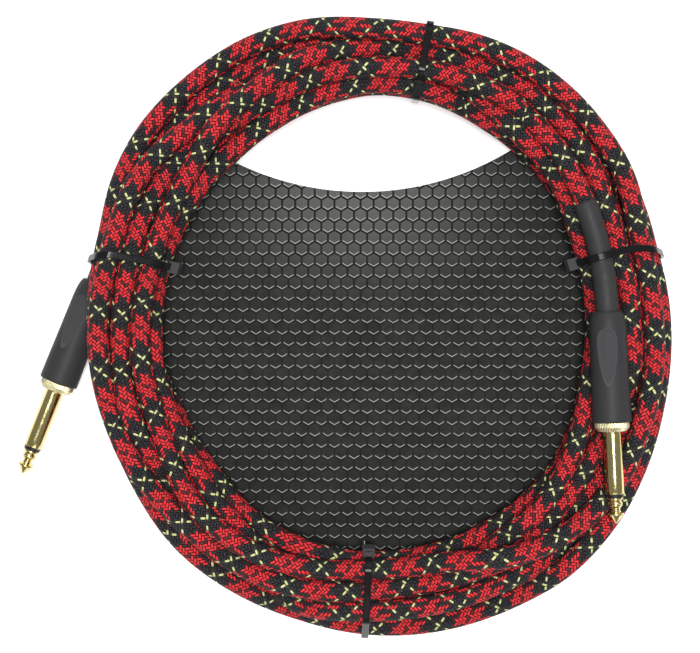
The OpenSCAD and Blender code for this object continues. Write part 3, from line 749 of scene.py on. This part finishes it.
def turned_piece(name, plug, rows, sides, material, body, shape=None):
    """A closed turned part: rows are (along, radius) around its whole section, outside and bore."""
    turn = np.linspace(0, 2 * math.pi, sides, endpoint=False)
    z = np.array([row[0] for row in rows])[:, None] + 0 * turn
    r = np.array([row[1] for row in rows])[:, None] + 0 * turn
    if shape:
        r = shape(z, turn[None, :] + 0 * z, r)
    points = np.stack([r * np.cos(turn), r * np.sin(turn), z], axis=-1)
    faces = bridge(len(rows), sides, True)
    return new_piece(name, plug.place(points).reshape(-1, 3), faces, material, body)


# The handle's rear shoulder, as (distance from the rear end, radius), and its two flat
# leaf-shaped scoops, as (distance from the rear end, depth).
SHOULDER = [(0, 4.9), (0.25, 5.2), (0.8, 5.5), (1.5, 5.75), (2.3, 5.95), (3.5, 6.15), (5, 6.3), (6.5, 6.38)]
SCOOP = [(5.8, 0), (6.6, 0.42), (7.6, 0.72), (9.2, 0.92), (11.5, 0.96), (14, 0.88), (17, 0.72),
         (20.5, 0.44), (25.6, 0)]
HANDLE_SIDES = 240
SCOOP_TURN = {"left": math.radians(-20), "right": math.radians(-14)}


def handle_piece(plug):
    """The screw-on handle: a taper with a soft rear shoulder and a leaf-shaped flat on two sides."""
    length = HANDLE_FRONT - HANDLE_REAR
    shoulder_end = SHOULDER[-1][0] * MM
    scoop_end = SCOOP[-1][0] * MM + 0.5 * MM

    def body_r(d):
        at = [p[0] * MM for p in SHOULDER] + [length - 0.25 * MM, length]
        return np.interp(d, at, [p[1] * MM for p in SHOULDER] + [HANDLE_R, HANDLE_R - 0.15 * MM])

    steps = np.concatenate([
        np.linspace(0, shoulder_end, 40)[:-1], np.linspace(shoulder_end, scoop_end, 110)[:-1],
        np.linspace(scoop_end, length - 0.25 * MM, 14), [length],
    ])
    cavity_r, neck_r, wall = 5.65 * MM, 4.5 * MM, 5 * MM
    thinnest_r = cavity_r + 0.2 * MM
    rows = [(HANDLE_REAR + d, body_r(d)) for d in steps]
    rows += [(HANDLE_FRONT, cavity_r), (HANDLE_REAR + wall, cavity_r), (HANDLE_REAR + wall, neck_r),
             (HANDLE_REAR, neck_r)]
    outside = np.arange(len(rows)) < len(steps)
    shade = np.zeros(len(rows))

    def scooped(z, turn, r):
        nonlocal shade
        d = z - HANDLE_REAR
        deep = eased([p[0] * MM for p in SCOOP], [p[1] * MM for p in SCOOP],
                     np.clip(d, SCOOP[0][0] * MM, SCOOP[-1][0] * MM))
        floor = np.where(outside[:, None] & (deep > 0), body_r(d) - deep, 1.0)
        rim = np.zeros_like(r)
        for face in (0, math.pi):
            at = (turn - face - SCOOP_TURN[plug.side] + math.pi) % (2 * math.pi) - math.pi
            cut = np.where(np.abs(at) < 1, floor / np.cos(np.clip(at, -1, 1)), 1.0)
            cut = np.maximum(cut, thinnest_r)
            depth = np.maximum(0, r - cut)
            # Marks each scoop's floor for a painted reflection, stronger in a thin line along its rim.
            rim = np.maximum(rim, (depth > 0) * (0.42 + 0.58 * np.exp(-((depth / (0.07 * MM)) ** 2))))
            r = r - depth
        shade = rim
        return r

    piece = turned_piece(f"{plug.side}_grip", plug, rows, HANDLE_SIDES, LOOKS["handle"],
                         f"{plug.side}_handle", scooped)
    edge = piece.data.attributes.new("edge", "FLOAT", "POINT")
    edge.data.foreach_set("value", (0.4 * shade).astype(np.float32).ravel())
    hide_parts(f"{plug.side}_handle")
    return piece


THREAD_PITCH = 0.8 * MM
KNURLS = 38
SLEEVE_SIDES = KNURLS * 8
KNURL_DEPTH = 0.35 * MM
THREAD_DEPTH = 0.12 * MM


def sleeve_piece(plug):
    """The sleeve contact, turned in one with its knurled collar and its threaded spigot."""
    rear, front, collar_r = plug.reach("sleeve_contact")
    sleeve_r = MOUNTS[f"{plug.side}_jack"]["dims"]["r_mm"] * MM
    collar_rear, spigot_r, bore_r = -3.1 * MM, 5.6 * MM, 2.2 * MM
    bevel_l, bevel_r = 1.4 * MM, 1.1 * MM
    rows = [(z, spigot_r) for z in np.arange(rear, collar_rear - 0.1 * MM, THREAD_PITCH / 6)]
    rows += [(collar_rear - 0.05 * MM, spigot_r - 0.3 * MM), (collar_rear, collar_r - 0.25 * MM)]
    collar = np.linspace(collar_rear + 0.15 * MM, -0.1 * MM, 36)
    rows += [(z, collar_r - bevel_r * max(0, 1 + z / bevel_l)) for z in collar]
    rows += [(0, collar_r - bevel_r - 0.05 * MM), (0, sleeve_r + 0.3 * MM), (0.1 * MM, sleeve_r)]
    rows += [(z, sleeve_r) for z in np.linspace(0.6 * MM, front - 0.25 * MM, 12)]
    rows += [(front, sleeve_r - 0.12 * MM), (front, bore_r), (rear, bore_r)]

    def cut(z, turn, r):
        thread = THREAD_DEPTH * (0.5 + 0.5 * np.cos(2 * math.pi * z / THREAD_PITCH + turn))
        r = np.where((z < collar_rear - 0.1 * MM) & (r > spigot_r - 0.01 * MM), r - thread, r)
        knurl = KNURL_DEPTH * (0.5 + 0.5 * np.cos(KNURLS * turn + z / (0.4 * MM)))
        return np.where((z > collar_rear + 0.1 * MM) & (z < -0.05 * MM) & (r > 4 * MM), r - knurl, r)

    piece = turned_piece(f"{plug.side}_sleeve", plug, rows, SLEEVE_SIDES, LOOKS["gold"], "root", cut)
    # The collar's mark makes it rougher and gives it a painted paler sheen.
    on_collar = [collar_rear < z < 0 and r > 4 * MM for z, r in rows]
    knurled = piece.data.attributes.new("knurled", "FLOAT", "POINT")
    knurled.data.foreach_set("value", np.repeat(on_collar, SLEEVE_SIDES).astype(np.float32))
    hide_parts(f"{plug.side}_sleeve_contact")
    return piece


# The tip in front of the ring, as (distance from the ring, radius).
TIP = [(0, 2.75), (0.45, 2.75), (0.6, 2.6), (0.9, 1.95), (1.2, 2.1), (1.7, 2.38), (2.2, 2.42),
       (2.8, 2.25), (3.4, 1.8), (3.9, 1.52), (4.4, 1.52), (4.9, 1.85), (5.3, 2.5), (5.5, 2.75),
       (5.8, 2.75), (6.0, 2.62), (8.5, 0.66), (8.8, 0.42)]


def tip_piece(plug):
    """The tip contact: a flange, a ball, a waist and a point on the rod that runs back through the jack."""
    rear, front, _ = plug.reach("tip_contact")
    start = plug.reach("tip_ring")[1]
    rod_r = 1.1 * MM
    at = np.unique(np.concatenate([[p[0] for p in TIP], np.arange(1, 5.4, 0.12)])) * MM
    radii = eased([p[0] * MM for p in TIP], [p[1] * MM for p in TIP], at)
    rows = [(rear, rod_r)] + [(start, rod_r)] + [(start + d, r) for d, r in zip(at, radii)]
    sides = 64
    turn = np.linspace(0, 2 * math.pi, sides, endpoint=False)
    points = [(r * math.cos(t), r * math.sin(t), z) for z, r in rows for t in turn]
    points += [(0, 0, rear), (0, 0, front)]
    faces = bridge(len(rows), sides)
    last = (len(rows) - 1) * sides
    for k in range(sides):
        n = (k + 1) % sides
        faces += [(len(points) - 2, n, k), (len(points) - 1, last + k, last + n)]
    piece = new_piece(f"{plug.side}_tip", plug.place(points), faces, LOOKS["gold"], "root")
    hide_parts(f"{plug.side}_tip_contact")
    return piece


BOOT_SIDES = 40


def boot_piece(plug, bent):
    """The sleeve shrunk over the cable, which follows it and is a little uneven."""
    line = resampled(plug_line(plug, 0, bent), 0.7 * MM)
    along = np.arange(len(line)) * 0.7 * MM
    start = SHEATH_END - HANDLE_REAR - 1.5 * MM
    line, along = line[along >= start], along[along >= start]
    to_end = along[-1] - along
    uneven = 0.05 * MM * np.sin(along / (2.3 * MM)) * np.sin(along / (5.1 * MM) + 1)
    outer = BOOT_R - 0.05 * MM + uneven - 0.25 * MM * np.exp(-((to_end / (0.7 * MM)) ** 2))
    bore = swept_rings(line[::-1], CABLE_R + 0.03 * MM, BOOT_SIDES)
    rings = np.vstack([swept_rings(line, outer, BOOT_SIDES), bore])
    faces = bridge(len(rings), BOOT_SIDES, True)
    piece = new_piece(f"{plug.side}_strain_sleeve", rings.reshape(-1, 3), faces, LOOKS["boot"], "root")
    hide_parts(f"{plug.side}_boot")
    return piece


# ---- ties ----

# name: (angle, slant across the bundle, how far its outer end leans to one side, where its
# head stands and how far out or up)
TIES = {
    "tie_top": (79.6, 0.0, 0.0, "top", 84.7),
    "tie_left": (164.4, 0.06, 3.3, "inside", 16.5),
    "tie_bottom": (268.45, -0.012, 0.0, "top", 80.2),
    "tie_right": (17.0, -0.03, -4.4, "inside", 16.5),
}
STRAP_POINTS = 160
STRAP_ROOM = 0.12 * MM                            # from a strap to what it holds
PAINTED_HEAD_LIGHT = {"tie_top": 0.2}                     # how much painted light makes a head grey
OTHER_PAINTED_HEAD_LIGHT = 0.75


def hull(points):
    """The outline around flat points, anticlockwise."""
    points = sorted(map(tuple, points))

    def half(run):
        kept = []
        for p in run:
            while len(kept) > 1 and (
                (kept[-1][0] - kept[-2][0]) * (p[1] - kept[-2][1])
                <= (kept[-1][1] - kept[-2][1]) * (p[0] - kept[-2][0])
            ):
                kept.pop()
            kept.append(p)
        return kept[:-1]

    return np.array(half(points) + half(points[::-1]))


def evenly(loop, count):
    closed = np.vstack([loop, loop[:1]])
    along = np.concatenate([[0], np.cumsum(np.linalg.norm(np.diff(closed, axis=0), axis=1))])
    at = np.linspace(0, along[-1], count, endpoint=False)
    return np.stack([np.interp(at, along, closed[:, k]) for k in range(2)], axis=1)


def bundle_section(line, angle):
    """Where the cable and the right boot cross a tie's plane: (distance, height, radius)."""
    way = np.array([math.cos(angle), math.sin(angle)])
    side = np.array([-way[1], way[0]])
    found = []
    boot = plug_line(RIGHT, 0, True)
    for path, radius in ((line, CABLE_R), (resampled(boot, MM), BOOT_R)):
        off = path[:, :2] - COIL_MIDDLE
        past = off @ side
        hits = np.flatnonzero((past[:-1] * past[1:] <= 0) & (off[:-1] @ way > 0))
        found += [(off[i] @ way, path[i, 2], radius) for i in hits]
    return found


def tie_piece(name, line):
    degrees, slant, lean, where, at = TIES[name]
    angle = math.radians(degrees)
    way = np.array([math.cos(angle), math.sin(angle), 0])
    side = np.array([-way[1], way[0], 0])
    up = np.array([0, 0, 1.0])
    ring = np.linspace(0, 2 * math.pi, 48, endpoint=False)
    circle = np.stack([np.cos(ring), np.sin(ring)], axis=1)
    section = bundle_section(line, angle)
    rim = np.vstack([np.array([r, z]) + (radius + STRAP_ROOM) * circle for r, z, radius in section])
    if name != "tie_top":
        rim = np.vstack([rim, [[SLOT_R, STRAP_T], [CARD_R, STRAP_T]]])
    rim[:, 1] = np.maximum(rim[:, 1], STRAP_T)
    inner = evenly(hull(rim), STRAP_POINTS)
    tangent = np.roll(inner, -1, 0) - np.roll(inner, 1, 0)
    outward = np.stack([tangent[:, 1], -tangent[:, 0]], axis=1) / np.linalg.norm(tangent, axis=1)[:, None]
    middle, half = inner[:, 0].mean(), np.ptp(inner[:, 0]) / 2
    corner = 0.15 * MM

    def in_space(flat, across):
        off = flat[:, :1] - middle
        shift = across + slant * off + lean * MM * np.clip(off / half, 0, 1.1) ** 2
        base = np.array([*COIL_MIDDLE, 0])
        return base + flat[:, :1] * way + flat[:, 1:2] * up + shift * side

    w = STRAP_W / 2
    section_points = [(-w, 0), (w, 0), (w, STRAP_T - corner), (w - corner, STRAP_T), (-w + corner, STRAP_T),
                      (-w, STRAP_T - corner)]
    rings = np.stack([in_space(inner + lift * outward, across) for across, lift in section_points], axis=1)
    points, faces = [rings.reshape(-1, 3)], bridge(len(inner), len(section_points), True)
    if where == "top":
        near = np.argmin(np.where(inner[:, 1] > np.median(inner[:, 1]), np.abs(inner[:, 0] - at * MM), 1))
    else:
        near = np.argmin(np.where(inner[:, 0] < middle, np.abs(inner[:, 1] - at * MM), 1))
    spot, out = inner[near], outward[near]
    run = np.array([-out[1], out[0]]) * (1 if where == "inside" else -1)
    for block in head_blocks(name):
        start = sum(len(p) for p in points)
        flat = spot + block[:, :1] * run + block[:, 2:] * out
        points.append(in_space(flat, block[:, 1:2]))
        faces += [[start + i for i in face] for face in BLOCK_FACES]
    piece = new_piece(name.replace("tie_", "strap_"), np.vstack(points), faces, LOOKS["tie"], "root", False)
    head = piece.data.attributes.new("head", "FLOAT", "POINT")
    on_head = np.arange(sum(len(p) for p in points)) >= rings.size // 3
    # The head's painted light.
    shade = PAINTED_HEAD_LIGHT.get(name, OTHER_PAINTED_HEAD_LIGHT)
    head.data.foreach_set("value", (shade * on_head).astype(np.float32))
    bevel = piece.modifiers.new("edges", "BEVEL")
    bevel.width, bevel.segments, bevel.limit_method = 0.12 * MM, 2, "ANGLE"
    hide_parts(name)
    return piece


BLOCK_FACES = [(0, 1, 3, 2), (4, 6, 7, 5), (0, 4, 5, 1), (2, 3, 7, 6), (0, 2, 6, 4), (1, 5, 7, 3)]


def head_blocks(tie):
    """A tie's head around its strap, its pawl and the strap's cut end, as blocks of 8 corners."""
    def block(x0, x1, y0, y1, z0, z1):
        return np.array([(x, y, z) for x in (x0, x1) for y in (y0, y1) for z in (z0, z1)]) * MM

    if tie == "tie_bottom":
        return [block(-2.4, 1.7, -2.1, 2.1, 0.1, 3.4), block(1.6, 3.1, -1.3, 1.3, 0.1, 2.6)]
    if tie != "tie_top":
        return [block(-2.0, 2.0, -2.1, 2.1, 0.1, 3.9), block(1.9, 3.4, -1.25, 1.25, 1.35, 2.3)]
    return [
        block(-2.1, 2.1, -2.0, -1.4, 0.1, 3.1),
        block(-2.1, 2.1, 1.4, 2.0, 0.1, 3.1),
        block(-2.1, 2.1, -1.45, 1.45, 2.5, 3.1),
        block(-2.1, 2.1, -1.45, 1.45, 0.1, 1.2),
        block(-0.8, 1.5, -0.9, 0.9, 2.3, 2.6),
        block(-1.8, 3.6, -1.25, 1.25, 1.35, 2.3),
    ]


# ---- stage ----

FLOOR_HALF = 4                                    # metres from its middle to a side


def add_floor():
    size = FLOOR_HALF
    mesh = bpy.data.meshes.new("floor")
    corners = [(-size, -size, 0), (size, -size, 0), (size, size, 0), (-size, size, 0)]
    mesh.from_pydata(corners, [], [(0, 1, 2, 3)])
    mesh.materials.append(floor_look())
    floor = bpy.data.objects.new("floor", mesh)
    bpy.context.scene.collection.objects.link(floor)


def add_light(name, place, size, power, aim=(0, 0, 0)):
    data = bpy.data.lights.new(name, "AREA")
    data.shape = "RECTANGLE"
    data.size, data.size_y = size
    data.energy = power
    light = bpy.data.objects.new(name, data)
    light.location = place
    light.rotation_euler = (Vector(aim) - Vector(place)).to_track_quat("-Z", "Y").to_euler()
    bpy.context.scene.collection.objects.link(light)


def add_lights():
    add_light("overhead", (0.03, 0.0, 1.1), (0.26, 0.30), 9.2)
    add_light("strip", (0.25, 0.05, 0.9), (0.07, 1.2), 1.5)
    add_light("far_box", (0, 0.85, 0.9), (0.9, 0.5), 3.0)
    add_light("near_box", (0, -0.85, 0.9), (0.9, 0.5), 2.5)
    world = bpy.data.worlds.new("room")
    world.use_nodes = True
    world.node_tree.nodes["Background"].inputs["Color"].default_value = (0.97, 0.98, 1.0, 1)
    world.node_tree.nodes["Background"].inputs["Strength"].default_value = 0.25
    bpy.context.scene.world = world
    bpy.context.scene.view_settings.view_transform = "Standard"


# ---- everything ----

add_camera()
line = cable_line()
cable = cable_piece(line, LOOKS["braid"])
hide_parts("cable_coil", "right_tail", "left_cable_end", "right_cable_end")
dress_cad_nodes()
for plug in (LEFT, RIGHT):
    handle_piece(plug)
    sleeve_piece(plug)
    tip_piece(plug)
    boot_piece(plug, plug is RIGHT)
for tie in TIES:
    tie_piece(tie, line)
tuple(LEFT.place((0, 0, HANDLE_REAR)))
add_floor()
add_lights()
